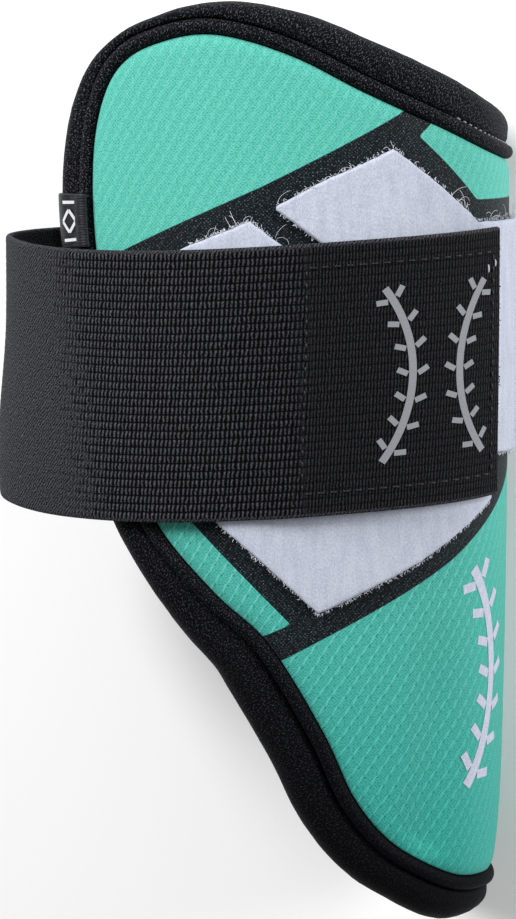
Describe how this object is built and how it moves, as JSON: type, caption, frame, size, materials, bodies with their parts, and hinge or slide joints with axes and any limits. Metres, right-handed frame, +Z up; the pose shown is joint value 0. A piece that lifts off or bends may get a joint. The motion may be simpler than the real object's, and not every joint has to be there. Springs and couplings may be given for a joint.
{
  "type": "baseball elbow guard",
  "caption": "Baseball elbow guard: a stiff fabric-covered shell bent round the arm on a padded liner with a rolled rim, loop patches and a wide elastic strap, lying on its side.",
  "frame": {"origin": "middle of the bounding box at the floor, with the guard lying on its far side", "axes": "+Y along the arm towards the high rim, +X towards the shell's front ridge, +Z up out of the side where the strap closes"},
  "size_m": [0.146, 0.2584, 0.1096],
  "materials": {
    "cover_fabric": "embossed polyester knit, teal with dark navy bands",
    "liner_fabric": "fine black knit over foam",
    "piping_fabric": "black knit over a cord",
    "loop_pile": "brushed white loop pile",
    "woven_elastic": "ribbed black woven elastic",
    "hook_tape": "black moulded hooks on tape",
    "woven_label": "black woven label with light marks"
  },
  "bodies": {
    "root": {"shell_cover": "cover_fabric", "padded_liner": "liner_fabric", "edge_piping": "piping_fabric", "loop_patch_front": "loop_pile", "loop_patch_near": "loop_pile", "loop_patch_far": "loop_pile", "elastic_strap": "woven_elastic", "hook_tab": "hook_tape", "side_label": "woven_label"}
  },
  "joints": []
}
